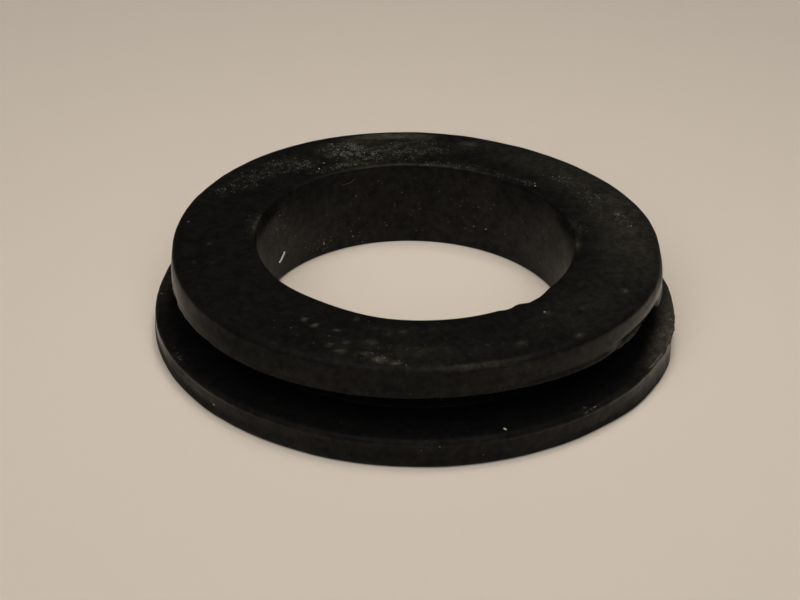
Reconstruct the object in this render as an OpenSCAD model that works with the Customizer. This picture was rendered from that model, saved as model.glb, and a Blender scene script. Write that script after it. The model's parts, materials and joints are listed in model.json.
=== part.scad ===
// Rubber gasket: a moulded ring with a flange at each end and a groove between them.
// The groove snaps over the edge of a panel hole, and a tube or spigot passes through the bore.
// Millimetres, +Z up. The origin is the centre of the ring on its base.

/* [Bore] */
// Diameter of the straight bore
bore_d = 24.8; // [18:0.2:28]
// Rounding of the bore's top and bottom edges
bore_edge_r = 0.25; // [0.1:0.05:0.5]

/* [Lower flange] */
// Diameter of the wider flange that rests on the base
lower_flange_d = 40; // [37:0.2:50]
// Thickness of the lower flange
lower_flange_t = 2.3; // [1.4:0.1:5]
// Rounding of the base's outer edge
base_edge_r = 0.2; // [0.1:0.05:0.5]

/* [Upper flange] */
// Diameter of the narrower flange at the top
upper_flange_d = 37; // [35:0.2:44]
// Thickness of the upper flange
upper_flange_t = 2.5; // [1.4:0.1:5]
// Rounding of the top face's outer edge
top_edge_r = 0.3; // [0.1:0.05:0.5]

/* [Panel groove] */
// Diameter at the floor of the groove
groove_d = 32; // [29:0.2:34]
// Width of the groove, which takes the panel's thickness
groove_w = 2.5; // [1.6:0.1:6]
// Rounding in the groove's two inner corners
groove_root_r = 0.5; // [0.2:0.05:0.7]
// Rounding of the two flange edges at the groove's mouth
groove_mouth_r = 0.12; // [0.05:0.01:0.3]

/* [Worn bore edge] */
// Angle of the long worn hollow in the bore's top edge
long_wear_angle = -44; // [-60:1:-30]
// Depth of the long worn hollow
long_wear_depth = 0.22; // [0.05:0.01:0.35]
// Angle of the short worn hollow beside it
short_wear_angle = -57; // [-80:1:-50]
// Depth of the short worn hollow
short_wear_depth = 0.12; // [0.05:0.01:0.3]
// Roundness of the hollows, as the radius of the ball that would rub them
wear_ball_r = 3; // [1.5:0.1:5]

/* [Torn upper flange] */
// Angle of the bite torn from the upper flange's lower edge
tear_angle = -20; // [-40:1:-10]
// Depth of the torn bite
tear_depth = 0.45; // [0.1:0.05:0.8]
// Radius of the torn bite
tear_r = 0.9; // [0.5:0.1:1.5]
// Angle where the small nick beside the tear sits
nick_angle = -27; // [-50:1:-24]
// Depth of the small nick
nick_depth = 0.25; // [0.05:0.05:0.5]
// Radius of the small nick
nick_r = 0.5; // [0.3:0.1:1]

/* [Moulding flash] */
// How far the fins of flash stand out past the rims
flash_reach = 0.3; // [0.1:0.02:0.3]
// Thickness of the flash where it leaves the rim
flash_t = 0.2; // [0.1:0.02:0.3]
// First angle of the fin on the lower flange
lower_flash_from = -27; // [-40:1:-22]
// Last angle of the fin on the lower flange
lower_flash_to = -11; // [-18:1:-11]
// First angle of the fin on the upper flange
upper_flash_from = -38; // [-60:1:-34]
// Last angle of the fin on the upper flange
upper_flash_to = -30; // [-32:1:-28]

/* [Hidden] */

bore_r = bore_d / 2;
lower_flange_r = lower_flange_d / 2;
upper_flange_r = upper_flange_d / 2;
groove_r = groove_d / 2;
groove_bottom_z = lower_flange_t;
groove_top_z = groove_bottom_z + groove_w;
height = groove_top_z + upper_flange_t;
// How far a cutter or a fin runs past the surface it meets
overrun = 0.3;
// Fineness of the small arcs in the section
arc_fn = 32;
// Fineness of the ring
ring_fn = 180;
// Fineness of the balls that cut the wear
ball_fn = 48;

// The sharp corner outside an arc of radius r, with the corner point at (x, z) and the
// arc towards (x + side_x, z + side_z). It starts a little before the corner point and
// ends where the arc meets the two straight lines.
module corner_waste(x, z, r, side_x, side_z) {
    mid = (r - overrun) / 2;
    difference() {
        translate([x + side_x * mid, z + side_z * mid])
            square(r + overrun, center = true);
        translate([x + side_x * r, z + side_z * r])
            circle(r, $fn = arc_fn);
    }
}

// The solid ring's section on one side of the axis, before its corners are rounded
module square_section() {
    translate([bore_r, 0])
        square([lower_flange_r - bore_r, lower_flange_t]);
    translate([bore_r, 0])
        square([groove_r - bore_r, height]);
    translate([bore_r, groove_top_z])
        square([upper_flange_r - bore_r, upper_flange_t]);
    // what the groove's rounded inner corners keep
    corner_waste(groove_r, groove_bottom_z, groove_root_r, 1, 1);
    corner_waste(groove_r, groove_top_z, groove_root_r, 1, -1);
}

// The finished section
module section() {
    difference() {
        square_section();
        corner_waste(bore_r, 0, bore_edge_r, 1, 1);
        corner_waste(bore_r, height, bore_edge_r, 1, -1);
        corner_waste(lower_flange_r, 0, base_edge_r, -1, 1);
        corner_waste(lower_flange_r, groove_bottom_z, groove_mouth_r, -1, -1);
        corner_waste(upper_flange_r, groove_top_z, groove_mouth_r, -1, 1);
        corner_waste(upper_flange_r, height, top_edge_r, -1, -1);
    }
}

// A thin fin left where the mould closed, tapering outwards from a rim
// radius is the rim's, z the height of the fin's flat side, way which side of it is thick
module flash_fin(radius, z, way, from, to) {
    rotate([0, 0, from])
        rotate_extrude(angle = to - from, $fn = ring_fn)
            polygon([
                [radius - overrun, z],
                [radius + flash_reach, z],
                [radius, z + way * flash_t],
                [radius - overrun, z + way * flash_t]
            ]);
}

// A ball that bites a hollow into a round edge
// side is 1 where the rubber lies outside the edge and -1 where it lies inside,
// up is 1 for an edge that faces upwards and -1 for one that faces down
module edge_bite(edge_r, edge_z, angle, ball_r, depth, side, up) {
    away = (ball_r - depth) * cos(45);
    rotate([0, 0, angle])
        translate([edge_r - side * away, 0, edge_z + up * away])
            sphere(ball_r, $fn = ball_fn);
}

// The whole gasket, one piece of moulded rubber
module gasket() {
    color("#1b1a1a")
        difference() {
            union() {
                rotate_extrude($fn = ring_fn)
                    section();
                flash_fin(lower_flange_r, groove_bottom_z - groove_mouth_r, -1,
                          lower_flash_from, lower_flash_to);
                flash_fin(upper_flange_r, groove_top_z + groove_mouth_r, 1,
                          upper_flash_from, upper_flash_to);
            }
            edge_bite(bore_r, height, long_wear_angle, wear_ball_r, long_wear_depth, 1, 1);
            edge_bite(bore_r, height, short_wear_angle, wear_ball_r, short_wear_depth, 1, 1);
            edge_bite(upper_flange_r, groove_top_z, tear_angle, tear_r, tear_depth, -1, -1);
            edge_bite(upper_flange_r, groove_top_z, nick_angle, nick_r, nick_depth, -1, -1);
        }
}

gasket();
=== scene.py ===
"""A moulded black rubber gasket for a panel hole, lying on a pale table with its bore upright.

The ring has a wide lower flange, a narrower upper flange and an open groove between them. It has been
used: its bore edge is rubbed, a bite is torn from the upper flange, moulding flash still hangs on the
rims, and chalky dust and lint lie on it. Everything is in metres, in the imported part's own frame.
"""
import json
import logging
import math
from dataclasses import dataclass
from enum import Enum

import bmesh
import bpy
import numpy as np
from mathutils import Matrix, Vector, noise

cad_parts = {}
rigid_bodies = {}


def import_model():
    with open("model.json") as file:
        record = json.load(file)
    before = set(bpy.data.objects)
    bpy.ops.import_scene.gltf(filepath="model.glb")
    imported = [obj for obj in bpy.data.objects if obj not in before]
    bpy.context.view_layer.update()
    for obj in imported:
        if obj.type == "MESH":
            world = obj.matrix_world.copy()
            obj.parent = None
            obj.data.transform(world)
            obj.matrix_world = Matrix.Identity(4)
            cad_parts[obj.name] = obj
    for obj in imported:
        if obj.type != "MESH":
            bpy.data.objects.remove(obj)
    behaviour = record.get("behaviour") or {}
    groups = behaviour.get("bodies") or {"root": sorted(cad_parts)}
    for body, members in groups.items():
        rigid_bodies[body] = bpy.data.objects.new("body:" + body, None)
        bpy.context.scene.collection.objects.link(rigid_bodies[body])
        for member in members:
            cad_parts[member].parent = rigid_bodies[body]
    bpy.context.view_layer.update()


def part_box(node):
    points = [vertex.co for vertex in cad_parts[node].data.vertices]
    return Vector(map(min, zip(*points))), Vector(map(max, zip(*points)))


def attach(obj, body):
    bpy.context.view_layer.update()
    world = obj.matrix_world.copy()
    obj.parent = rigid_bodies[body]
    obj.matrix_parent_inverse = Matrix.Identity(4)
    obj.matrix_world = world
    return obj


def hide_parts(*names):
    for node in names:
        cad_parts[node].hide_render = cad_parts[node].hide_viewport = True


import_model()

MM = 0.001
NODE = "gasket"
BODY = "root"
SLOT = "black_rubber"
log = logging.getLogger("gasket")
Value = bpy.types.NodeSocket | float


# ---------------------------------------------------------------- colours, nodes and meshes


def linear(hex_colour: str) -> tuple[float, float, float, float]:
    """Turns an sRGB hex colour into the linear colour that a shader takes.

    Args:
        hex_colour: Six hex digits with a leading #.

    Returns:
        Linear red, green, blue and an alpha of 1.
    """
    parts = [int(hex_colour[i : i + 2], 16) / 255 for i in (1, 3, 5)]
    return (*(c / 12.92 if c <= 0.04045 else ((c + 0.055) / 1.055) ** 2.4 for c in parts), 1.0)


def add(tree: bpy.types.NodeTree, kind: str, inputs: dict | None = None, **settings) -> bpy.types.Node:
    """Adds a node with its settings and what feeds its inputs.

    Args:
        tree: The tree that gets the node.
        kind: The node's type name.
        inputs: A value or a socket for each input, by the input's name or index.
        **settings: Attributes of the node itself.

    Returns:
        The new node.
    """
    made = tree.nodes.new(kind)
    for name, value in settings.items():
        setattr(made, name, value)
    for name, value in (inputs or {}).items():
        if isinstance(value, bpy.types.NodeSocket):
            tree.links.new(value, made.inputs[name])
        else:
            made.inputs[name].default_value = value
    return made


class Socket(Enum):
    """What a geometry tree's input holds."""

    LENGTH = "NodeSocketFloat"
    COUNT = "NodeSocketInt"
    MESH = "NodeSocketGeometry"
    FINISH = "NodeSocketMaterial"


class GeometryTree:
    """A Geometry Nodes tree with named inputs, run once on an object to make a plain mesh."""

    def __init__(self, name: str, inputs: dict[str, Socket]) -> None:
        """Makes the tree with its inputs and one mesh output.

        Args:
            name: The tree's name.
            inputs: What each named input holds.
        """
        self.tree = bpy.data.node_groups.new(name, "GeometryNodeTree")
        face = self.tree.interface
        self.ids = {
            key: face.new_socket(name=key, in_out="INPUT", socket_type=kind.value).identifier
            for key, kind in inputs.items()
        }
        face.new_socket(name="Geometry", in_out="OUTPUT", socket_type=Socket.MESH.value)
        self.inputs = add(self.tree, "NodeGroupInput").outputs

    def add(self, kind: str, inputs: dict | None = None, **settings) -> bpy.types.Node:
        """Adds a node to this tree, as add() does."""
        return add(self.tree, kind, inputs, **settings)

    def finish(self, geometry: bpy.types.NodeSocket, material: bpy.types.NodeSocket) -> None:
        """Ends the tree in Realize Instances and Set Material."""
        real = self.add("GeometryNodeRealizeInstances", {"Geometry": geometry})
        dressed = self.add("GeometryNodeSetMaterial", {"Geometry": real.outputs[0], "Material": material})
        self.add("NodeGroupOutput", {0: dressed.outputs[0]})

    def run(self, name: str, values: dict[str, object], base: bpy.types.Mesh | None = None) -> bpy.types.Object:
        """Runs the tree and keeps its result as a plain mesh object.

        Args:
            name: The new object's name.
            values: A value for each named input, apart from the mesh.
            base: The mesh that the tree works on, if it needs one.

        Returns:
            An object at the origin, with no modifier.
        """
        holder = new_object(name + "_source", base or bpy.data.meshes.new(name + "_source"))
        modifier = holder.modifiers.new(self.tree.name, "NODES")
        modifier.node_group = self.tree
        for key, value in values.items():
            modifier[self.ids[key]] = value
        graph = bpy.context.evaluated_depsgraph_get()
        graph.update()
        made = bpy.data.meshes.new_from_object(holder.evaluated_get(graph))
        made.name = name
        holder.modifiers.remove(modifier)
        bpy.data.objects.remove(holder)
        return new_object(name, made)


def new_object(name: str, mesh: bpy.types.Mesh) -> bpy.types.Object:
    """Links a new object that holds a mesh, at the origin."""
    made = bpy.data.objects.new(name, mesh)
    bpy.context.scene.collection.objects.link(made)
    return made


def vertices(mesh: bpy.types.Mesh) -> np.ndarray:
    """A mesh's vertices as rows of x, y, z."""
    found = np.empty(len(mesh.vertices) * 3)
    mesh.vertices.foreach_get("co", found)
    return found.reshape(-1, 3)


def noise_at(points: np.ndarray, size: float, seed: float) -> np.ndarray:
    """Smooth noise between -1 and 1 at each point.

    Args:
        points: Rows of x, y, z.
        size: The width of the noise's lumps.
        seed: Where in the noise the points are put.

    Returns:
        One number for each point.
    """
    shift = Vector((seed, 1.7 * seed, -0.6 * seed))
    return np.array([noise.noise(Vector(p) + shift) for p in points / size])


def ease(x: np.ndarray) -> np.ndarray:
    """Goes smoothly from 0 to 1 as x does, and stays there."""
    x = np.clip(x, 0.0, 1.0)
    return x * x * (3.0 - 2.0 * x)


def keep_amounts(mesh: bpy.types.Mesh, amounts: dict[str, np.ndarray]) -> None:
    """Writes a number for each vertex under each name."""
    for name, amount in amounts.items():
        layer = mesh.attributes.new(name, "FLOAT", "POINT")
        layer.data.foreach_set("value", amount.astype(np.float32))


def angle_from(angles: np.ndarray, centre: float) -> np.ndarray:
    """Degrees from a centre angle, between -180 and 180."""
    return (angles - centre + 180.0) % 360.0 - 180.0


def bell(angles: np.ndarray, centre: float, half_width: float) -> np.ndarray:
    """A smooth hump of height 1 round a centre angle, in degrees."""
    return ease(1.0 - np.abs(angle_from(angles, centre)) / half_width)


def around(angle: float, radius: float, height: float) -> tuple[float, float, float]:
    """A point in metres from an angle in degrees and a radius and height in millimetres."""
    turn = math.radians(angle)
    return (radius * math.cos(turn) * MM, radius * math.sin(turn) * MM, height * MM)


def stretch(angles: np.ndarray, start: float, end: float, soft_start: float, soft_end: float) -> np.ndarray:
    """1 between two angles, with an ease at each end, in degrees."""
    middle, half = (start + end) / 2, (end - start) / 2
    off = angle_from(angles, middle)
    return ease((off + half) / soft_start) * ease((half - off) / soft_end)


# ---------------------------------------------------------------- finishes


@dataclass(frozen=True)
class MouldedRubber:
    """Black nitrile rubber, compression moulded: near black and dull, with a fine grain from the mould.

    Its own colour is almost nothing, so the eye reads it by its soft sheen, by a pale overlay that is partly
    fine grey dust that dulls it and partly painted sheen and highlights where light falls on it, and by the
    `dust` attribute's chalky specks, which lie in clusters and in faint streaks round the ring.
    """

    rubber: str = "#050506"
    # partly painted sheen: this pale colour stands both for a dust coat and for light on the rubber
    bloom_and_sheen: str = "#34312a"
    chalk: str = "#9fa08a"
    bright_chalk: str = "#c9c8b4"
    grain_mm: float = 0.2
    fleck_mm: float = 0.55
    mottle_mm: float = 1.7
    streak_mm: float = 0.28
    speck_mm: float = 0.14
    crumb_mm: float = 0.42
    roughness: float = 0.22
    dusty_roughness: float = 0.58
    specular: float = 0.14
    streak_radius_mm: float = 15.5

    def material(self) -> bpy.types.Material:
        """Builds the rubber's node tree."""
        made = bpy.data.materials.new("moulded_nitrile_rubber")
        made.use_nodes = True
        tree = made.node_tree
        tree.nodes.clear()
        place = add(tree, "ShaderNodeTexCoord").outputs["Object"]
        film_and_sheen = add(tree, "ShaderNodeAttribute", attribute_name="film_and_sheen").outputs["Fac"]
        dust = add(tree, "ShaderNodeAttribute", attribute_name="dust").outputs["Fac"]

        def sums(what: str, a: Value, b: Value, clamp: bool = False) -> bpy.types.NodeSocket:
            """One sum of two values."""
            return add(tree, "ShaderNodeMath", {0: a, 1: b}, operation=what, use_clamp=clamp).outputs[0]

        def pattern(where: bpy.types.NodeSocket, size_mm: float, detail: float) -> bpy.types.NodeSocket:
            """Noise whose lumps are size_mm wide."""
            return add(tree, "ShaderNodeTexNoise", {
                "Vector": where, "Scale": 1 / (size_mm * MM), "Detail": detail, "Roughness": 0.6,
            }).outputs["Fac"]

        def spread(value: bpy.types.NodeSocket, low: float, high: float, top: float = 1.0) -> bpy.types.NodeSocket:
            """Maps low..high to 0..top."""
            return add(tree, "ShaderNodeMapRange", {
                "Value": value, "From Min": low, "From Max": high, "To Max": top,
            }).outputs["Result"]

        def specks(size_mm: float, reach: float, share: bpy.types.NodeSocket) -> bpy.types.NodeSocket:
            """Round specks in a share of the cells of a pattern size_mm wide, each with its own strength."""
            cell = add(tree, "ShaderNodeTexVoronoi", {"Vector": place, "Scale": 1 / (size_mm * MM)})
            chance = add(tree, "ShaderNodeSeparateColor", {0: cell.outputs["Color"]}).outputs
            here = sums("LESS_THAN", chance[0], share)
            near = spread(cell.outputs["Distance"], reach, reach * 0.45)
            return sums("MULTIPLY", sums("MULTIPLY", near, here), sums("POWER", chance[1], 2.0))

        # round the ring, streaks are long and across it they are narrow
        parts = add(tree, "ShaderNodeSeparateXYZ", {0: place}).outputs
        turn = sums("MULTIPLY", sums("ARCTAN2", parts[1], parts[0]), self.streak_radius_mm * MM / 4.0)
        out = sums("SQRT", sums("ADD", sums("MULTIPLY", parts[0], parts[0]), sums("MULTIPLY", parts[1], parts[1])), 0.0)
        swept = add(tree, "ShaderNodeCombineXYZ", {0: turn, 1: out, 2: parts[2]}).outputs[0]
        grain = pattern(place, self.grain_mm, 3.0)
        flecks = pattern(place, self.fleck_mm, 4.0)
        mottle = pattern(place, self.mottle_mm, 4.0)
        streak = pattern(swept, self.streak_mm, 3.0)

        cloud = sums("MULTIPLY", spread(mottle, 0.3, 0.7), 0.7)
        uneven = sums("ADD", sums("ADD", cloud, spread(flecks, 0.36, 0.68, 0.8)), 0.12)
        ragged = sums("MULTIPLY", uneven, spread(grain, 0.2, 0.62, 0.85))
        # partly painted sheen and highlights: the pale colour is mixed in for real dust and also to stand for light
        # falling on the rubber
        haze_and_sheen = sums("MULTIPLY", film_and_sheen, sums("ADD", ragged, 0.2))
        clumps = sums("MULTIPLY", spread(mottle, 0.4, 0.6), spread(streak, 0.46, 0.64))
        smear = sums("MULTIPLY", sums("MULTIPLY", clumps, dust), 0.9)
        haze_and_sheen = sums("ADD", haze_and_sheen, smear)
        lively = sums("ADD", sums("MULTIPLY", sums("MULTIPLY", spread(flecks, 0.4, 0.6), dust), 0.95), 0.0005)
        fine = sums("MAXIMUM", specks(self.speck_mm, 0.42, lively), specks(self.speck_mm * 0.6, 0.5, lively))
        coarse = specks(self.crumb_mm, 0.22, sums("ADD", sums("MULTIPLY", dust, 0.34), 0.001))
        dusty_and_sheened = add(tree, "ShaderNodeMix", {
            "Factor": haze_and_sheen, 6: linear(self.rubber), 7: linear(self.bloom_and_sheen),
        }, data_type="RGBA", clamp_factor=False).outputs[2]
        chalky = add(tree, "ShaderNodeMix", {
            "Factor": sums("MULTIPLY", fine, 0.9), 6: dusty_and_sheened, 7: linear(self.chalk),
        }, data_type="RGBA").outputs[2]
        colour = add(tree, "ShaderNodeMix", {
            "Factor": sums("MULTIPLY", coarse, 0.7), 6: chalky, 7: linear(self.bright_chalk),
        }, data_type="RGBA").outputs[2]
        dull = add(tree, "ShaderNodeAttribute", attribute_name="dull").outputs["Fac"]
        rough = add(tree, "ShaderNodeMix", {
            "Factor": dull, 2: self.roughness, 3: self.dusty_roughness,
        }, data_type="FLOAT").outputs[0]
        shine = add(tree, "ShaderNodeMix", {
            "Factor": dull, 2: self.specular, 3: self.specular * 0.38,
        }, data_type="FLOAT").outputs[0]
        patchy = sums("ADD", spread(mottle, 0.3, 0.7, 0.35), spread(flecks, 0.3, 0.7, 0.6))
        shine = sums("MULTIPLY", shine, sums("ADD", patchy, 0.43))
        height = sums("ADD", grain, sums("MULTIPLY", flecks, 1.2))
        bump = add(tree, "ShaderNodeBump", {"Height": height, "Strength": 0.3, "Distance": 0.03 * MM})
        shader = add(tree, "ShaderNodeBsdfPrincipled", {
            "Base Color": colour, "Roughness": rough, "Normal": bump.outputs[0],
            "IOR": 1.5, "Specular IOR Level": shine,
        })
        add(tree, "ShaderNodeOutputMaterial", {"Surface": shader.outputs[0]})
        return made


@dataclass(frozen=True)
class ChalkDust:
    """Dry chalky dirt in loose grains: matt, pale and slightly green, each grain a little different."""

    name: str = "chalk_dust"
    pale: str = "#b9b8a2"
    dark: str = "#6f6c58"
    patch_mm: float = 0.5

    def material(self) -> bpy.types.Material:
        """Builds the dust's node tree."""
        made = bpy.data.materials.new(self.name)
        made.use_nodes = True
        tree = made.node_tree
        tree.nodes.clear()
        place = add(tree, "ShaderNodeTexCoord").outputs["Object"]
        shade = add(tree, "ShaderNodeTexNoise", {
            "Vector": place, "Scale": 1 / (self.patch_mm * MM), "Detail": 1.0,
        }).outputs["Fac"]
        share = add(tree, "ShaderNodeMapRange", {"Value": shade, "From Min": 0.3, "From Max": 0.7}).outputs[0]
        colour = add(tree, "ShaderNodeMix", {
            "Factor": share, 6: linear(self.dark), 7: linear(self.pale),
        }, data_type="RGBA").outputs[2]
        shader = add(tree, "ShaderNodeBsdfPrincipled", {
            "Base Color": colour, "Roughness": 0.95, "Specular IOR Level": 0.2,
        })
        add(tree, "ShaderNodeOutputMaterial", {"Surface": shader.outputs[0]})
        return made


@dataclass(frozen=True)
class TableTop:
    """Smooth matt laminate in a plain pale beige, faintly cloudy, and darker away from its middle as painted shade for
    the lamps' fall-off.
    """

    colour: str = "#dacec0"
    cloud: str = "#d6cabd"
    # painted shade: the colour that the table darkens to away from its middle
    outer: str = "#c5bbb0"
    cloud_mm: float = 60.0
    shade_falloff_mm: float = 75.0

    def material(self) -> bpy.types.Material:
        """Builds the table's node tree."""
        made = bpy.data.materials.new("matt_laminate")
        made.use_nodes = True
        tree = made.node_tree
        tree.nodes.clear()
        place = add(tree, "ShaderNodeTexCoord").outputs["Object"]
        shade = add(tree, "ShaderNodeTexNoise", {
            "Vector": place, "Scale": 1 / (self.cloud_mm * MM), "Detail": 3.0,
        }).outputs["Fac"]
        colour = add(tree, "ShaderNodeMix", {
            "Factor": shade, 6: linear(self.colour), 7: linear(self.cloud),
        }, data_type="RGBA").outputs[2]
        # painted shade: darker towards the edges, for the lamps' fall-off
        away = add(tree, "ShaderNodeVectorMath", {0: place}, operation="LENGTH").outputs["Value"]
        share = add(tree, "ShaderNodeMapRange", {"Value": away, "From Max": self.shade_falloff_mm * MM}).outputs[0]
        colour = add(tree, "ShaderNodeMix", {
            "Factor": share, 6: colour, 7: linear(self.outer),
        }, data_type="RGBA").outputs[2]
        shader = add(tree, "ShaderNodeBsdfPrincipled", {
            "Base Color": colour, "Roughness": 0.8, "Specular IOR Level": 0.1,
        })
        add(tree, "ShaderNodeOutputMaterial", {"Surface": shader.outputs[0]})
        return made


# ---------------------------------------------------------------- the ring


class Face(Enum):
    """A face of the ring that patches lie on."""

    TOP = "top"
    SHELF = "shelf"
    WALL = "wall"
    RIM = "rim"


@dataclass(frozen=True)
class Patch:
    """A soft-edged patch that lays dirt, dullness, painted sheen or painted highlight: angles in degrees from +X,
    lengths in millimetres.

    `across` is the patch's radius on a flat face and its height on an upright one.
    """

    angle: float
    across: float
    half_angle: float
    half_width: float
    strength: float
    face: Face = Face.TOP

    def weight(self, angles: np.ndarray, across: np.ndarray) -> np.ndarray:
        """How much the patch lays at each point, from 0 to its strength."""
        along = angle_from(angles, self.angle) / self.half_angle
        off = np.hypot(along, (across - self.across) / self.half_width)
        return self.strength * ease(1.0 - off)


# patches of the pale overlay: partly real dust, partly painted sheen and highlights where light falls on the rubber
FILM_AND_SHEEN = (
    # painted sheen, partly dust: the broad patches on the top face make its back and right lighter and leave its left
    # dark, as the light's sheen falls there
    Patch(100, 16.2, 60, 4.5, 0.36),
    Patch(84, 18.0, 60, 1.8, 0.22),
    Patch(38, 17.0, 66, 5.5, 0.58),
    Patch(8, 17.0, 60, 6.0, 0.68),
    Patch(-32, 16.0, 60, 6.0, 0.36),
    Patch(-90, 16.5, 55, 5.0, 0.26),
    # partly dust, partly painted highlight: patches along the front top outer edge, here and further down at radius 18
    # to 18.5, lighten it where light glints on it
    Patch(-92, 18.2, 42, 0.9, 0.34),
    Patch(-93, 16.6, 24, 2.6, 0.4),
    Patch(-97, 17.6, 16, 0.8, 0.18),
    Patch(-125, 15.5, 45, 5.0, 0.12),
    # painted highlight, partly dust: the bore's top edge made lighter at its left end, and at its right end by the
    # patches at 8 and -4 degrees
    Patch(174, 12.5, 12, 0.28, 1.3),
    Patch(8, 12.6, 20, 0.5, 0.4),
    Patch(90, 12.45, 130, 0.7, 0.26),
    Patch(95, 12.38, 60, 0.3, 0.9),
    Patch(-6, 5.5, 14, 3.2, 0.5, Face.WALL),
    Patch(-90, 18.5, 110, 0.8, 0.24),
    Patch(150, 18.1, 34, 0.9, 0.25),
    # partly dust, partly painted light: the lower flange's top made lighter at the right and left, where light reaches
    # it past the upper flange
    Patch(-12, 20.0, 30, 1.7, 1.7, Face.SHELF),
    Patch(172, 19.6, 28, 1.5, 0.6, Face.SHELF),
    Patch(-45, 20.1, 18, 0.45, 0.29, Face.SHELF),
    Patch(-90, 20.2, 130, 0.5, 0.2, Face.SHELF),
    Patch(-121.8, 14.8, 1.3, 0.34, 2.4),
    Patch(-117.9, 15.1, 1.5, 0.36, 2.6),
    Patch(-111.4, 15.0, 1.5, 0.32, 1.8),
    Patch(-107, 16.2, 2.0, 0.5, 1.0),
    Patch(-97.0, 14.4, 2.2, 0.22, 1.7),
    Patch(-93.6, 14.1, 2.4, 0.22, 2.0),
    Patch(-107.1, 17.4, 2.4, 0.5, 1.3),
    Patch(-101.5, 17.2, 3.0, 0.5, 1.2),
    Patch(-85, 18.0, 5.0, 0.35, 0.45),
    Patch(-90, 13.9, 32, 1.3, 0.32),
    Patch(76, 16.2, 20, 2.0, 0.4),
    Patch(107, 17.0, 12, 0.9, 0.6),
    Patch(138, 15.3, 10, 1.0, 0.3),
    Patch(118, 13.6, 10, 0.9, 0.4),
    Patch(-76, 18.1, 6.0, 0.3, 0.4),
    Patch(-49.7, 14.6, 1.9, 0.45, 1.7),
    Patch(-26.8, 17.1, 1.6, 0.4, 2.4),
    Patch(-41, 15.9, 2.6, 0.6, 0.8),
    Patch(-64, 16.8, 3.0, 0.5, 0.8),
    Patch(-172.9, 15.75, 1.0, 0.25, 1.2),
    Patch(-163.8, 17.0, 1.4, 0.25, 1.0),
    Patch(-162.7, 15.7, 0.9, 0.25, 1.0),
    Patch(-108.3, 13.1, 1.6, 0.4, 1.2),
    Patch(-110.5, 17.0, 1.4, 0.45, 1.5),
    Patch(-100.9, 15.8, 3.4, 0.8, 1.0),
    Patch(-97.7, 17.8, 3.2, 0.6, 1.9),
    Patch(-94.1, 18.0, 2.2, 0.4, 2.0),
    Patch(-77, 18.45, 19, 0.42, 0.9),
    Patch(-50.3, 18.0, 2.4, 0.45, 1.1),
    Patch(98, 17.8, 19, 1.1, 1.9),
    Patch(88.8, 17.4, 7, 0.9, 1.3),
    Patch(74.5, 17.0, 6, 0.8, 1.1),
    Patch(-4, 12.45, 7, 0.4, 1.3),
    Patch(-100, 5.1, 2.0, 0.35, 0.35, Face.RIM),
    Patch(-85.5, 5.2, 1.6, 0.35, 0.4, Face.RIM),
    Patch(-77, 5.6, 2.2, 0.5, 0.22, Face.RIM),
    Patch(-112, 5.4, 3.0, 0.6, 0.2, Face.RIM),
    Patch(-93, 6.1, 4.0, 0.6, 0.2, Face.RIM),
    Patch(-60, 5.9, 6.0, 0.8, 0.18, Face.RIM),
    # painted highlights: the next three patches make the right rim, the lower left rim's top and the left rim lighter
    # where light grazes them
    Patch(-6, 6.0, 21, 3.6, 3.4, Face.RIM),
    Patch(-160, 1.9, 34, 0.7, 0.3, Face.RIM),
    Patch(-170, 6.0, 15, 2.2, 0.7, Face.RIM),
    Patch(-100, 1.6, 50, 1.2, 0.12, Face.RIM),
)
SCUFFS = (
    Patch(-134, 6.2, 40, 3.0, 0.9, Face.RIM),
    Patch(-95, 6.0, 40, 3.0, 0.6, Face.RIM),
    Patch(-165, 0.6, 80, 1.0, 1.3, Face.RIM),
    Patch(-25, 0.1, 90, 1.2, 1.3, Face.RIM),
    Patch(-90, 0.7, 70, 2.5, 0.6, Face.RIM),
    Patch(165, 3.0, 30, 7.0, 0.6, Face.WALL),
    Patch(90, 4.0, 70, 7.0, 0.4, Face.WALL),
    Patch(44, 6.9, 36, 5.0, 0.7, Face.WALL),
    Patch(138, 6.9, 36, 5.0, 0.8, Face.WALL),
    Patch(20, 4.0, 26, 6.0, 0.45, Face.WALL),
    Patch(-149, 1.4, 15, 1.6, 0.7, Face.RIM),
    Patch(-7, 1.4, 15, 1.6, 0.5, Face.RIM),
)
CHALK = (
    Patch(138, 16.4, 17, 1.5, 0.62),
    Patch(129, 15.0, 11, 1.2, 0.75),
    Patch(112, 15.9, 10, 2.4, 1.5),
    Patch(108, 14.4, 12, 2.0, 1.1),
    Patch(113, 13.3, 24, 0.8, 0.85),
    Patch(152, 16.9, 13, 1.1, 0.4),
    Patch(149, 15.6, 7, 0.7, 0.35),
    Patch(92, 15.2, 18, 2.4, 0.6),
    Patch(76, 12.8, 36, 0.7, 0.36),
    Patch(22, 15.3, 6, 0.5, 0.9),
    Patch(12, 16.6, 7, 0.8, 0.8),
    Patch(24, 15.9, 12, 1.7, 0.35),
    Patch(40, 15.6, 9, 1.1, 0.35),
    Patch(45, 13.0, 8, 0.7, 0.75),
    Patch(10, 12.8, 12, 0.7, 0.35),
    Patch(172, 12.8, 14, 0.7, 0.35),
    Patch(-99, 17.6, 9, 0.6, 0.2),
    Patch(-90, 15.5, 50, 3.4, 0.03),
    Patch(70, 3.4, 100, 4.0, 0.026, Face.WALL),
    Patch(130, 1.0, 22, 1.4, 0.2, Face.WALL),
    Patch(156, 5.2, 12, 2.6, 0.22, Face.WALL),
    Patch(-4, 5.2, 14, 3.0, 0.2, Face.WALL),
    Patch(-14, 19.8, 20, 0.7, 0.16, Face.SHELF),
    Patch(-51.9, 20.0, 3, 0.5, 0.5, Face.SHELF),
    Patch(-150, 19.9, 6, 0.6, 0.3, Face.SHELF),
)


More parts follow.
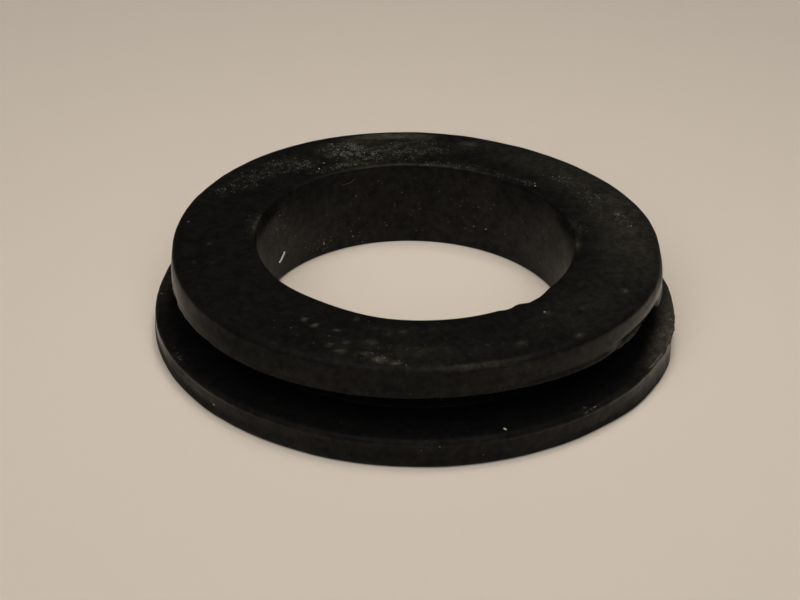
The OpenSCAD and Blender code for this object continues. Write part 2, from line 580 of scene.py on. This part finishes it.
@dataclass
class RubberRing:
    """The gasket's one piece of rubber, with its mould's section, its sag and its wear.

    Lengths are in millimetres and angles in degrees from +X, with -90 towards the front. Each flange
    ends in a slight lip at the groove's mouth, where the mould's halves met.
    """

    height: float
    lower_radius: float
    upper_radius: float = 18.5
    bore_radius: float = 12.4
    groove_radius: float = 16.0
    lower_thickness: float = 2.3
    groove_width: float = 2.5
    bore_edge: float = 0.16
    base_edge: float = 0.32
    root_edge: float = 0.1
    top_edge: float = 0.4
    lip_reach: float = 0.13
    lip_rise: float = 0.5
    lip_edge: float = 0.12
    lip_flare: float = 0.6
    spacing: float = 0.25
    around: int = 540

    def corners(self) -> list[tuple[float, float, float]]:
        """The section's corners as radius, height and rounding, in order round it."""
        shelf = self.lower_thickness
        mouth = shelf + self.groove_width
        return [
            (self.bore_radius, 0.0, self.bore_edge),
            (self.lower_radius, 0.0, self.base_edge),
            (self.lower_radius, shelf - self.lip_rise, self.lip_flare),
            (self.lower_radius + self.lip_reach, shelf, 3 * self.lip_edge),
            (self.groove_radius, shelf, self.root_edge),
            (self.groove_radius, mouth, self.root_edge),
            (self.upper_radius + self.lip_reach, mouth, self.lip_edge),
            (self.upper_radius, mouth + self.lip_rise, self.lip_flare),
            (self.upper_radius, self.height, self.top_edge),
            (self.bore_radius, self.height, self.bore_edge),
        ]

    def sweep_tree(self) -> GeometryTree:
        """A tree that rounds the section's corners and sweeps it round the axis."""
        corners = self.corners()
        lengths = [f"{what} {i}" for i in range(len(corners)) for what in ("Radius", "Height", "Rounding")]
        made = GeometryTree("moulded_ring", {
            **dict.fromkeys(lengths, Socket.LENGTH),
            "Spacing": Socket.LENGTH,
            "Around": Socket.COUNT,
            "Finish": Socket.FINISH,
        })
        index = made.add("GeometryNodeInputIndex").outputs[0]
        places = made.add("GeometryNodeIndexSwitch", {"Index": index}, data_type="VECTOR")
        roundings = made.add("GeometryNodeIndexSwitch", {"Index": index}, data_type="FLOAT")
        for i in range(len(corners)):
            if i >= 2:
                places.index_switch_items.new()
                roundings.index_switch_items.new()
            down = made.add("ShaderNodeMath", {0: made.inputs[f"Height {i}"], 1: -1.0}, operation="MULTIPLY")
            point = made.add("ShaderNodeCombineXYZ", {"X": made.inputs[f"Radius {i}"], "Y": down.outputs[0]})
            made.tree.links.new(point.outputs[0], places.inputs[i + 1])
            made.tree.links.new(made.inputs[f"Rounding {i}"], roundings.inputs[i + 1])
        dots = made.add("GeometryNodePoints", {"Count": len(corners), "Position": places.outputs[0]})
        keep = made.add("GeometryNodeStoreNamedAttribute", {
            "Geometry": dots.outputs[0], "Name": "rounding", "Value": roundings.outputs[0],
        }, data_type="FLOAT", domain="POINT")
        line = made.add("GeometryNodePointsToCurves", {"Points": keep.outputs[0]})
        loop = made.add("GeometryNodeSetSplineCyclic", {0: line.outputs[0], "Cyclic": True})
        rounding = made.add("GeometryNodeInputNamedAttribute", {"Name": "rounding"}, data_type="FLOAT")
        soft = made.add("GeometryNodeFilletCurve", {
            "Curve": loop.outputs[0], "Count": 5, "Radius": rounding.outputs[0], "Limit Radius": True,
        }, mode="POLY")
        here = made.add("GeometryNodeInputPosition").outputs[0]
        ahead = made.add("GeometryNodeOffsetPointInCurve", {"Offset": 1}).outputs["Point Index"]
        there = made.add("GeometryNodeFieldAtIndex", {"Index": ahead, "Value": here}, data_type="FLOAT_VECTOR")
        gap = made.add("ShaderNodeVectorMath", {0: here, 1: there.outputs[0]}, operation="DISTANCE")
        share = made.add("ShaderNodeMath", {
            0: gap.outputs["Value"], 1: made.inputs["Spacing"],
        }, operation="DIVIDE")
        fine = made.add("GeometryNodeSubdivideCurve", {"Curve": soft.outputs[0], "Cuts": share.outputs[0]})
        path = made.add("GeometryNodeCurvePrimitiveCircle", {
            "Resolution": made.inputs["Around"], "Radius": self.bore_radius * MM,
        }, mode="RADIUS")
        shift = made.add("GeometryNodeTransform", {
            "Geometry": fine.outputs[0], "Translation": (-self.bore_radius * MM, 0.0, 0.0),
        })
        swept = made.add("GeometryNodeCurveToMesh", {
            "Curve": path.outputs[0], "Profile Curve": shift.outputs[0], "Fill Caps": False,
        })
        made.finish(swept.outputs[0], made.inputs["Finish"])
        return made

    def build(self, finish: bpy.types.Material) -> bpy.types.Object:
        """Makes the ring's mesh, worn, with dust, and with painted sheen, highlights and shade in its colour.

        Args:
            finish: The rubber's material.

        Returns:
            The finished piece.
        """
        values: dict[str, object] = {"Spacing": self.spacing * MM, "Around": self.around, "Finish": finish}
        for i, (radius, height, rounding) in enumerate(self.corners()):
            values[f"Radius {i}"] = radius * MM
            values[f"Height {i}"] = height * MM
            values[f"Rounding {i}"] = rounding * MM
        piece = self.sweep_tree().run("gasket_ring", values)
        face_outwards(piece.data)
        points = self.worn(vertices(piece.data))
        piece.data.vertices.foreach_set("co", points.ravel())
        piece.data.update()
        piece.data.shade_smooth()
        self.lay_dirt_and_painted_light(piece.data, points)
        return piece

    def worn(self, points: np.ndarray) -> np.ndarray:
        """Moves the moulded ring's points to its used shape.

        Args:
            points: The moulded ring's vertices, in metres.

        Returns:
            The same vertices where the used ring has them.
        """
        angles = np.degrees(np.arctan2(points[:, 1], points[:, 0]))
        radii = np.hypot(points[:, 0], points[:, 1]) / MM
        heights = points[:, 2] / MM
        mouth = self.lower_thickness + self.groove_width
        upper = ease((heights - self.lower_thickness) / self.groove_width)
        out = np.clip((radii - self.bore_radius) / (self.upper_radius - self.bore_radius), 0.0, 1.0)
        turn = np.radians(angles)
        # the flanges are out of round, the upper one in three soft lobes
        upper_rim = 0.33 + 0.2 * np.cos(3 * (turn - math.radians(108)))
        lower_rim = 0.17 - 0.07 * np.cos(2 * (turn + math.radians(76)))
        upper_bore = -0.24 * bell(angles, -123, 26) - 0.18 + 0.1 * bell(angles, -75, 85)
        lower_bore = -0.21 + 0.07 * np.cos(2 * (turn - math.radians(85)))
        shelf_rim = np.clip(heights / self.lower_thickness, 0.0, 1.0) * -0.3 * bell(angles, 172, 34)
        grow = out * (upper * upper_rim + (1 - upper) * (lower_rim + shelf_rim))
        grow += (1 - out) * (upper * upper_bore + (1 - upper) * lower_bore)
        lift = np.zeros(len(points))
        ragged = noise_at(points, 0.9 * MM, 3.0)
        finer = noise_at(points, 0.45 * MM, 9.0)
        # the bore's top edge is rubbed down along two stretches
        edge = np.exp(-(np.hypot(radii - self.bore_radius, heights - self.height) / 0.55) ** 2)
        rub = 0.2 * stretch(angles, -53.5, -36, 5.0, 9.0) + 0.09 * stretch(angles, -61.5, -54, 3.0, 2.5)
        grow += edge * rub * (1 + 0.2 * ragged)
        lift -= edge * rub * 0.4
        # the rim's top edge is worn round towards the left
        brow = np.exp(-(np.hypot(radii - self.upper_radius, heights - self.height) / 0.9) ** 2)
        brow *= 0.04 + 0.14 * bell(angles, -152, 34) + 0.1 * bell(angles, -22, 26) \
            + 0.2 * bell(angles, -6, 20) + 0.07 * bell(angles, -172, 18)
        grow -= brow
        lift -= brow * 0.9
        mouth_wear = np.exp(-(np.hypot(radii - self.bore_radius, heights - self.height) / 0.8) ** 2)
        mouth_wear *= 0.27 * bell(angles, 164, 22) + 0.2 * bell(angles, 14, 18)
        grow += mouth_wear
        lift -= mouth_wear * 0.7
        # a bite is torn from the upper flange's lip, and its edge is frayed on the way to the front
        lip = np.hypot(radii - self.upper_radius - self.lip_reach, heights - mouth)
        bite = stretch(angles, -46, -17.5, 12.0, 1.2) * np.exp(-(lip / 0.55) ** 2)
        grow -= bite * (0.34 + 0.08 * ragged)
        lift += bite * (0.2 + 0.06 * finer) * (heights > mouth - 0.1)
        # both lips are uneven, where flash was pulled from the mould
        shelf_lip = np.hypot(radii - self.lower_radius - self.lip_reach, heights - self.lower_thickness)
        uneven = 0.05 * ragged + 0.04 * finer
        grow += (np.exp(-(lip / 0.3) ** 2) + np.exp(-(shelf_lip / 0.3) ** 2)) * uneven
        grow -= 0.1 * (1 - stretch(angles, -75, -5, 20, 8)) * np.exp(-(lip / 0.45) ** 2)
        grow += 0.24 * stretch(angles, -50, -10, 16.0, 10.0) * np.exp(-(heights / 0.9) ** 2) * (out == 1.0)
        grow += 0.16 * stretch(angles, -30, -4, 8.0, 6.0) * np.exp(-(shelf_lip / 0.35) ** 2) * (1 + ragged)
        # the soft unevenness of a moulded skin
        skin = noise_at(points, 3.0 * MM, 21.0) * 0.03 + noise_at(points, 0.9 * MM, 27.0) * 0.012
        outer = np.clip((radii - self.groove_radius) / (self.lower_radius - self.groove_radius), 0.0, 1.0)
        grow += skin * (0.5 + outer)
        lift += skin * (heights > 0.5 * self.height) * 0.6
        radii = radii + grow
        moved = np.stack([radii * np.cos(turn), radii * np.sin(turn), heights + lift], axis=1)
        moved[:, 2] = np.maximum(moved[:, 2], 0.0)
        return moved * MM

    def lay_dirt_and_painted_light(self, mesh: bpy.types.Mesh, points: np.ndarray) -> None:
        """Writes three attributes: a pale overlay of dust and of painted sheen, highlights and shade,
        the chalk specks, and how dull the rubber is.

        Args:
            mesh: The ring's mesh.
            points: Its vertices, in metres.
        """
        angles = np.degrees(np.arctan2(points[:, 1], points[:, 0]))
        radii = np.hypot(points[:, 0], points[:, 1]) / MM
        heights = points[:, 2] / MM
        normals = np.empty(len(points) * 3, np.float32)
        mesh.vertices.foreach_get("normal", normals)
        up = ease(normals.reshape(-1, 3)[:, 2] * 2.2)
        sheltered = ease((self.groove_radius + 1.5 - radii) / 0.8) * (radii > self.groove_radius - 0.5)
        sheltered *= np.abs(heights - self.lower_thickness - self.groove_width / 2) < self.groove_width / 2 + 0.1
        high = heights > self.lower_thickness + self.groove_width / 2
        faces = {
            Face.TOP: (high * up, radii),
            Face.SHELF: (~high * up, radii),
            Face.WALL: ((radii < self.bore_radius + 0.6) * (1 - up), heights),
            Face.RIM: ((radii > self.upper_radius - 0.6) * (1 - up), heights),
        }
        # painted shade: the shelf's top and the groove get less of the pale overlay, so they stay dark where the upper
        # flange shades them
        overlay_less_in_shade = np.where(~high * (up > 0.5) + sheltered > 0.5, 0.07, 0.13)
        amounts = {"film_and_sheen": overlay_less_in_shade, "dust": np.zeros(len(points)), "dull": up}
        for name, patches in (("film_and_sheen", FILM_AND_SHEEN), ("dust", CHALK), ("dull", SCUFFS)):
            for patch in patches:
                shown, across = faces[patch.face]
                amounts[name] = np.maximum(amounts[name], patch.weight(angles, across) * shown)
        amounts["dull"] = np.clip(np.maximum(amounts["dull"], sheltered), 0.0, 1.0)
        keep_amounts(mesh, amounts)


def face_outwards(mesh: bpy.types.Mesh) -> None:
    """Merges a closed mesh's doubles and turns its faces outwards."""
    work = bmesh.new()
    work.from_mesh(mesh)
    bmesh.ops.remove_doubles(work, verts=work.verts, dist=0.001 * MM)
    bmesh.ops.recalc_face_normals(work, faces=work.faces)
    work.to_mesh(mesh)
    work.free()


# ---------------------------------------------------------------- dust and lint


@dataclass(frozen=True)
class Grain:
    """One loose crumb of dirt: where it lies, in degrees and millimetres, and how wide it is."""

    angle: float
    radius: float
    height: float
    width: float


@dataclass
class LooseDust:
    """The crumbs of chalky dirt that lie on the ring, each in its own place."""

    grains: tuple[Grain, ...]
    seed: int = 11

    def tree(self) -> GeometryTree:
        """A tree that lays an uneven crumb on each point, as wide as its `width` says."""
        made = GeometryTree("loose_dust", {
            "Geometry": Socket.MESH, "Seed": Socket.COUNT, "Finish": Socket.FINISH,
        })
        width = made.add("GeometryNodeInputNamedAttribute", {"Name": "width"}, data_type="FLOAT").outputs[0]
        grain = made.add("GeometryNodeMeshIcoSphere", {"Radius": 0.5, "Subdivisions": 1})
        shape = made.add("FunctionNodeRandomValue", {
            0: (0.9, 0.6, 0.4), 1: (1.3, 1.0, 0.7), "Seed": made.inputs["Seed"],
        }, data_type="FLOAT_VECTOR").outputs[0]
        scale = made.add("ShaderNodeVectorMath", {0: shape, "Scale": width}, operation="SCALE").outputs[0]
        spin = made.add("FunctionNodeRandomValue", {
            0: (-0.4, -0.4, 0.0), 1: (0.4, 0.4, math.tau), "Seed": made.inputs["Seed"],
        }, data_type="FLOAT_VECTOR").outputs[0]
        laid = made.add("GeometryNodeInstanceOnPoints", {
            "Points": made.inputs["Geometry"], "Instance": grain.outputs[0], "Rotation": spin, "Scale": scale,
        })
        made.finish(laid.outputs[0], made.inputs["Finish"])
        return made

    def build(self, finish: bpy.types.Material) -> bpy.types.Object:
        """Lays the grains.

        Args:
            finish: The grains' material.

        Returns:
            One piece that holds every grain.
        """
        places = [around(grain.angle, grain.radius, grain.height) for grain in self.grains]
        base = bpy.data.meshes.new("grain_places")
        base.from_pydata(places, [], [])
        width = base.attributes.new("width", "FLOAT", "POINT")
        width.data.foreach_set("value", [grain.width * MM for grain in self.grains])
        return self.tree().run("dust_grains", {"Seed": self.seed, "Finish": finish}, base=base)


@dataclass(frozen=True)
class TornFlash:
    """A thin torn fringe of moulding flash that stands out from a flange's lip.

    Angles are in degrees and lengths in millimetres. The fringe starts inside the rubber, at `radius`.
    """

    name: str
    start: float
    end: float
    radius: float
    height: float
    reach: float
    thickness: float = 0.07
    tear: float = 0.55
    droop: float = 0.5
    least: float = 0.12
    step: float = 0.05
    seed: float = 1.0
    film_and_sheen: float = 1.2

    @staticmethod
    def tree() -> GeometryTree:
        """A tree that sweeps a thin fin along an arc and tears its outer edge."""
        lengths = ("Radius", "Height", "Start", "Sweep", "Reach", "Thickness", "Tear", "Droop", "Least", "Seed")
        made = GeometryTree("torn_flash", {
            **dict.fromkeys(lengths, Socket.LENGTH), "Around": Socket.COUNT, "Finish": Socket.FINISH,
        })
        value = made.inputs

        def sums(what: str, a: Value, b: Value = 0.0, c: Value = 0.0, clamp: bool = False) -> bpy.types.NodeSocket:
            """One sum of two or three values."""
            return made.add("ShaderNodeMath", {0: a, 1: b, 2: c}, operation=what, use_clamp=clamp).outputs[0]

        path = made.add("GeometryNodeCurveArc", {
            "Resolution": value["Around"], "Radius": value["Radius"],
            "Start Angle": value["Start"], "Sweep Angle": value["Sweep"],
        }, mode="RADIUS")
        along = made.add("GeometryNodeSplineParameter").outputs["Factor"]
        kept = made.add("GeometryNodeStoreNamedAttribute", {
            "Geometry": path.outputs[0], "Name": "along", "Value": along,
        }, data_type="FLOAT", domain="POINT")
        fin = made.add("GeometryNodeCurvePrimitiveCircle", {"Resolution": 12, "Radius": 0.5}, mode="RADIUS")
        size = made.add("ShaderNodeCombineXYZ", {0: value["Reach"], 1: value["Thickness"], 2: 1.0})
        off = made.add("ShaderNodeCombineXYZ", {0: sums("MULTIPLY", value["Reach"], 0.5)})
        shape = made.add("GeometryNodeTransform", {
            "Geometry": fin.outputs[0], "Scale": size.outputs[0], "Translation": off.outputs[0],
        })
        swept = made.add("GeometryNodeCurveToMesh", {
            "Curve": kept.outputs[0], "Profile Curve": shape.outputs[0], "Fill Caps": True,
        })
        here = made.add("GeometryNodeInputPosition").outputs[0]
        radial = made.add("ShaderNodeVectorMath", {0: here}, operation="NORMALIZE").outputs[0]
        far = sums("SUBTRACT", made.add("ShaderNodeVectorMath", {0: here}, operation="LENGTH").outputs["Value"],
                   value["Radius"])
        rag = made.add("ShaderNodeTexNoise", {
            "Vector": radial, "W": value["Seed"], "Detail": 3.0, "Roughness": 0.65,
            "Scale": sums("DIVIDE", value["Radius"], value["Tear"]),
        }, noise_dimensions="4D").outputs["Fac"]
        long = made.add("ShaderNodeMapRange", {
            "Value": rag, "From Min": 0.36, "From Max": 0.66, "To Min": value["Least"],
        }).outputs["Result"]
        t = made.add("GeometryNodeInputNamedAttribute", {"Name": "along"}, data_type="FLOAT").outputs[0]
        fade = sums("POWER", sums("MULTIPLY", sums("MULTIPLY", t, sums("SUBTRACT", 1.0, t)), 4.0, clamp=True), 0.45)
        short = sums("SUBTRACT", sums("MULTIPLY", long, fade), 1.0)
        pull = made.add("ShaderNodeVectorMath", {0: radial, "Scale": sums("MULTIPLY", far, short)},
                        operation="SCALE").outputs[0]
        share = sums("DIVIDE", far, value["Reach"])
        bend = sums("MULTIPLY", sums("MULTIPLY", sums("SUBTRACT", rag, 0.5), share), value["Droop"])
        rise = made.add("ShaderNodeCombineXYZ", {2: sums("ADD", value["Height"], bend)}).outputs[0]
        offset = made.add("ShaderNodeVectorMath", {0: pull, 1: rise}, operation="ADD").outputs[0]
        torn = made.add("GeometryNodeSetPosition", {"Geometry": swept.outputs[0], "Offset": offset})
        made.finish(torn.outputs[0], made.inputs["Finish"])
        return made

    def build(self, tree: GeometryTree, finish: bpy.types.Material) -> bpy.types.Object:
        """Makes the fringe with a shared tree.

        Args:
            tree: The torn flash tree.
            finish: The rubber's material.

        Returns:
            The fringe as a closed piece.
        """
        sweep = math.radians(self.end - self.start)
        piece = tree.run(self.name, {
            "Radius": self.radius * MM, "Height": self.height * MM, "Start": math.radians(self.start),
            "Sweep": sweep, "Reach": self.reach * MM, "Thickness": self.thickness * MM,
            "Tear": self.tear * MM, "Droop": self.droop * MM, "Least": self.least, "Seed": self.seed,
            "Around": round(sweep * self.radius / self.step), "Finish": finish,
        })
        face_outwards(piece.data)
        count = len(piece.data.vertices)
        keep_amounts(piece.data, {"film_and_sheen": np.full(count, self.film_and_sheen), "dull": np.ones(count)})
        piece.data.shade_smooth()
        return piece


@dataclass
class Lint:
    """A hair or fibre that clings to the ring: its points as angle, radius and height, and its thickness."""

    name: str
    points: tuple[tuple[float, float, float], ...]
    thickness: float
    finish: ChalkDust

    def build(self) -> bpy.types.Object:
        """Sweeps a thin round strand along the fibre's points."""
        shape = bpy.data.curves.new(self.name, "CURVE")
        shape.dimensions = "3D"
        shape.bevel_depth = self.thickness / 2 * MM
        shape.bevel_resolution = 1
        shape.use_fill_caps = True
        spline = shape.splines.new("NURBS")
        spline.points.add(len(self.points) - 1)
        for point, (angle, radius, height) in zip(spline.points, self.points):
            point.co = (*around(angle, radius, height), 1.0)
        spline.use_endpoint_u = True
        spline.order_u = 4
        spline.resolution_u = 6
        holder = bpy.data.objects.new(self.name + "_source", shape)
        bpy.context.scene.collection.objects.link(holder)
        graph = bpy.context.evaluated_depsgraph_get()
        mesh = bpy.data.meshes.new_from_object(holder.evaluated_get(graph))
        bpy.data.objects.remove(holder)
        mesh.materials.clear()
        mesh.materials.append(self.finish.material())
        return new_object(self.name, mesh)


FLASHES = (
    TornFlash("lower_lip_flash", -31, -3, 20.05, 2.22, 0.46, tear=0.8, droop=0.25, seed=4.0, film_and_sheen=2.5),
    TornFlash("lower_lip_whisker", -13, -9.5, 20.05, 2.2, 0.66, droop=0.25, seed=7.5, film_and_sheen=2.0),
    TornFlash("upper_lip_flash", -48, -24, 18.3, 4.82, 0.62, tear=2.2, droop=0.1, least=0.7, seed=2.3, film_and_sheen=2.2),
)
GRAINS = (
    Grain(65.9, 12.2, 2.2, 0.12), Grain(60.6, 12.2, 2.2, 0.13), Grain(124.6, 12.2, 1.2, 0.1),
    Grain(17.9, 12.28, 4.6, 0.1), Grain(152.6, 12.22, 5.8, 0.11), Grain(155.6, 12.2, 4.9, 0.1),
    Grain(114, 16.1, 7.3, 0.14), Grain(113, 15.6, 7.3, 0.1), Grain(114.5, 15.2, 7.3, 0.12),
    Grain(113.5, 14.7, 7.3, 0.1), Grain(122, 14.4, 7.3, 0.15), Grain(125.6, 13.7, 7.3, 0.16),
    Grain(155, 16.9, 7.3, 0.12), Grain(156, 17.4, 7.3, 0.1), Grain(42.1, 13.1, 7.3, 0.22), Grain(43.6, 13.4, 7.3, 0.12),
    Grain(43, 15.4, 7.3, 0.09), Grain(30, 16.1, 7.3, 0.08), Grain(24, 15.2, 7.3, 0.1),
    Grain(19, 18.0, 7.28, 0.12), Grain(7.7, 17.0, 7.3, 0.12), Grain(-71, 19.5, 2.3, 0.3),
    Grain(-52.2, 19.8, 2.28, 0.11), Grain(-50.3, 20.1, 2.3, 0.13), Grain(-177, 19.7, 2.3, 0.1),
)
LINTS = (
    Lint("lint_fibre", ((154.6, 12.12, 1.7), (153.6, 12.02, 1.9), (152, 12.06, 2.1), (150.6, 12.11, 2.3)), 0.13,
         ChalkDust("cotton_lint", "#d9d9d2", "#b4b3a8")),
    Lint("curly_hair", ((121, 12.3, 5.8), (119, 12.15, 6.25), (117, 12.28, 5.95), (115, 12.15, 6.3),
                        (113, 12.3, 6.6)), 0.02,
         ChalkDust("dark_hair", "#6d6a60", "#4b483f")),
)


# ---------------------------------------------------------------- the studio


@dataclass
class Studio:
    """A plain pale table, soft lamps and the camera."""

    table_size: float = 3.0
    focal_mm: float = 76.5
    pitch: float = 0.53995
    roll: float = -0.019376
    distance: float = 134.48
    slide_right: float = -1.088
    slide_up: float = 1.285

    def table(self) -> bpy.types.Object:
        """Lays the table at the gasket's base."""
        half = self.table_size / 2
        mesh = bpy.data.meshes.new("table")
        mesh.from_pydata([(-half, -half, 0), (half, -half, 0), (half, half, 0), (-half, half, 0)], [], [(0, 1, 2, 3)])
        mesh.materials.append(TableTop().material())
        made = new_object("table", mesh)
        return made

    def lamp(self, name: str, place: tuple[float, float, float], size: float, power: float, colour: str) -> None:
        """Hangs a square soft lamp that looks at the gasket.

        Args:
            name: The lamp's name.
            place: Where it hangs, in metres.
            size: The side of its square, in metres.
            power: Its power in watts.
            colour: Its sRGB hex colour.
        """
        data = bpy.data.lights.new(name, "AREA")
        data.shape = "SQUARE"
        data.size = size
        data.energy = power
        data.color = linear(colour)[:3]
        made = bpy.data.objects.new(name, data)
        made.location = place
        made.rotation_euler = (-Vector(place)).to_track_quat("-Z", "Y").to_euler()
        bpy.context.scene.collection.objects.link(made)

    def world(self) -> None:
        """Fills the room with a dim even light, and shows a pale wall to the camera."""
        made = bpy.data.worlds.new("room")
        bpy.context.scene.world = made
        made.use_nodes = True
        tree = made.node_tree
        tree.nodes.clear()
        seen = add(tree, "ShaderNodeLightPath").outputs["Is Camera Ray"]
        wall = add(tree, "ShaderNodeBackground", {"Color": linear("#d8d0c6"), "Strength": 1.0})
        room = add(tree, "ShaderNodeBackground", {"Color": linear("#d8d4ce"), "Strength": 0.03})
        mixed = add(tree, "ShaderNodeMixShader", {0: seen, 1: room.outputs[0], 2: wall.outputs[0]})
        add(tree, "ShaderNodeOutputWorld", {"Surface": mixed.outputs[0]})

    def camera(self) -> None:
        """Sets the camera in front of the gasket, looking down at it."""
        data = bpy.data.cameras.new("camera")
        data.lens = self.focal_mm
        data.sensor_width = 36.0
        data.clip_start = 1 * MM
        back = Vector((0.0, -math.cos(self.pitch), math.sin(self.pitch)))
        right = Vector((1.0, 0.0, 0.0))
        up = back.cross(right)
        place = (right * self.slide_right + up * self.slide_up + back * self.distance) * MM
        turned_right = right * math.cos(self.roll) - up * math.sin(self.roll)
        turned_up = right * math.sin(self.roll) + up * math.cos(self.roll)
        axes = Matrix((turned_right, turned_up, back)).transposed()
        made = bpy.data.objects.new("camera", data)
        made.matrix_world = Matrix.Translation(place) @ axes.to_4x4()
        bpy.context.scene.collection.objects.link(made)
        bpy.context.scene.camera = made

    def build(self) -> None:
        """Makes the whole studio."""
        self.table()
        self.lamp("softbox", (-0.05, -0.40, 0.565), 0.90, 5.5, "#fffdfa")
        self.lamp("overhead", (0.015, 0.035, 0.25), 0.08, 0.19, "#fff8ee")
        self.lamp("window", (0.60, 0.95, 0.62), 0.40, 0.12, "#f6f8fc")
        self.world()
        self.camera()
        bpy.context.scene.view_settings.view_transform = "Standard"


# ---------------------------------------------------------------- assembly


def place(piece: bpy.types.Object, slot: str | None = None) -> None:
    """Makes a piece ride on the gasket's body and logs it."""
    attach(piece, BODY)
    log.info("%s: %d faces", piece.name, len(piece.data.polygons))


def main() -> None:
    """Builds the gasket and its studio."""
    logging.basicConfig(level=logging.INFO, format="%(name)s: %(message)s")
    low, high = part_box(NODE)
    ring = RubberRing(height=(high[2] - low[2]) / MM, lower_radius=(high[0] - low[0]) / 2 / MM)
    rubber = MouldedRubber().material()
    body = ring.build(rubber)
    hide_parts(NODE)
    place(body, SLOT)
    torn = TornFlash.tree()
    for flash in FLASHES:
        place(flash.build(torn, rubber), SLOT)
    place(LooseDust(GRAINS).build(ChalkDust().material()))
    for lint in LINTS:
        place(lint.build())
    Studio().build()


if __name__ == "__main__":
    main()
